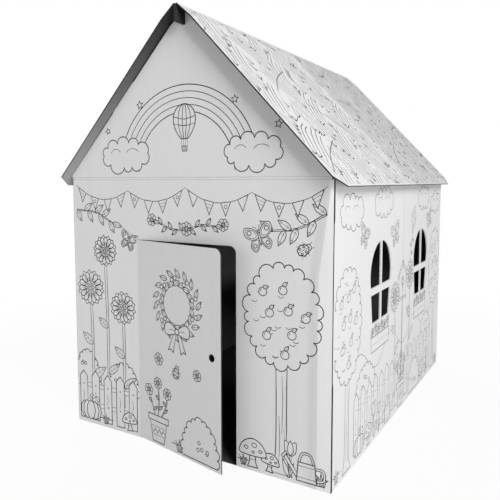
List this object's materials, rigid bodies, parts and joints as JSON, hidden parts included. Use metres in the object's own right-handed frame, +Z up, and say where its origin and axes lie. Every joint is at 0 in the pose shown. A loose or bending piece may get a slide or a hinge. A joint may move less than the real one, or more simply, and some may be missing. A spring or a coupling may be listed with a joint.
{
  "type": "cardboard playhouse",
  "caption": "Child's playhouse folded from corrugated board: gabled walls with two arched windows in one side, a hinged door flap and a pinched-ridge roof sheet, printed for colouring in.",
  "frame": {"origin": "on the floor, under the middle of the whole house's box as it stands with the door ajar", "axes": "+Z up, the front with the door faces -Y, +X to the right seen from the front"},
  "size_m": [0.7084, 0.9586, 0.9306],
  "materials": {
    "wall_board": "matt white-faced corrugated board",
    "roof_board": "matt white-faced corrugated board",
    "door_board": "matt white-faced corrugated board",
    "print_ink": "thin black printed line"
  },
  "bodies": {
    "house": {"house_walls": "wall_board", "roof_sheet": "roof_board"},
    "door": {"front_door": "door_board"}
  },
  "joints": [
    {"name": "door_swing", "type": "hinge", "parent": "house", "child": "door", "pos_m": [-0.131, -0.43074, 0], "axis": [0, 0, -1], "range_deg": [-11, 139]}
  ]
}
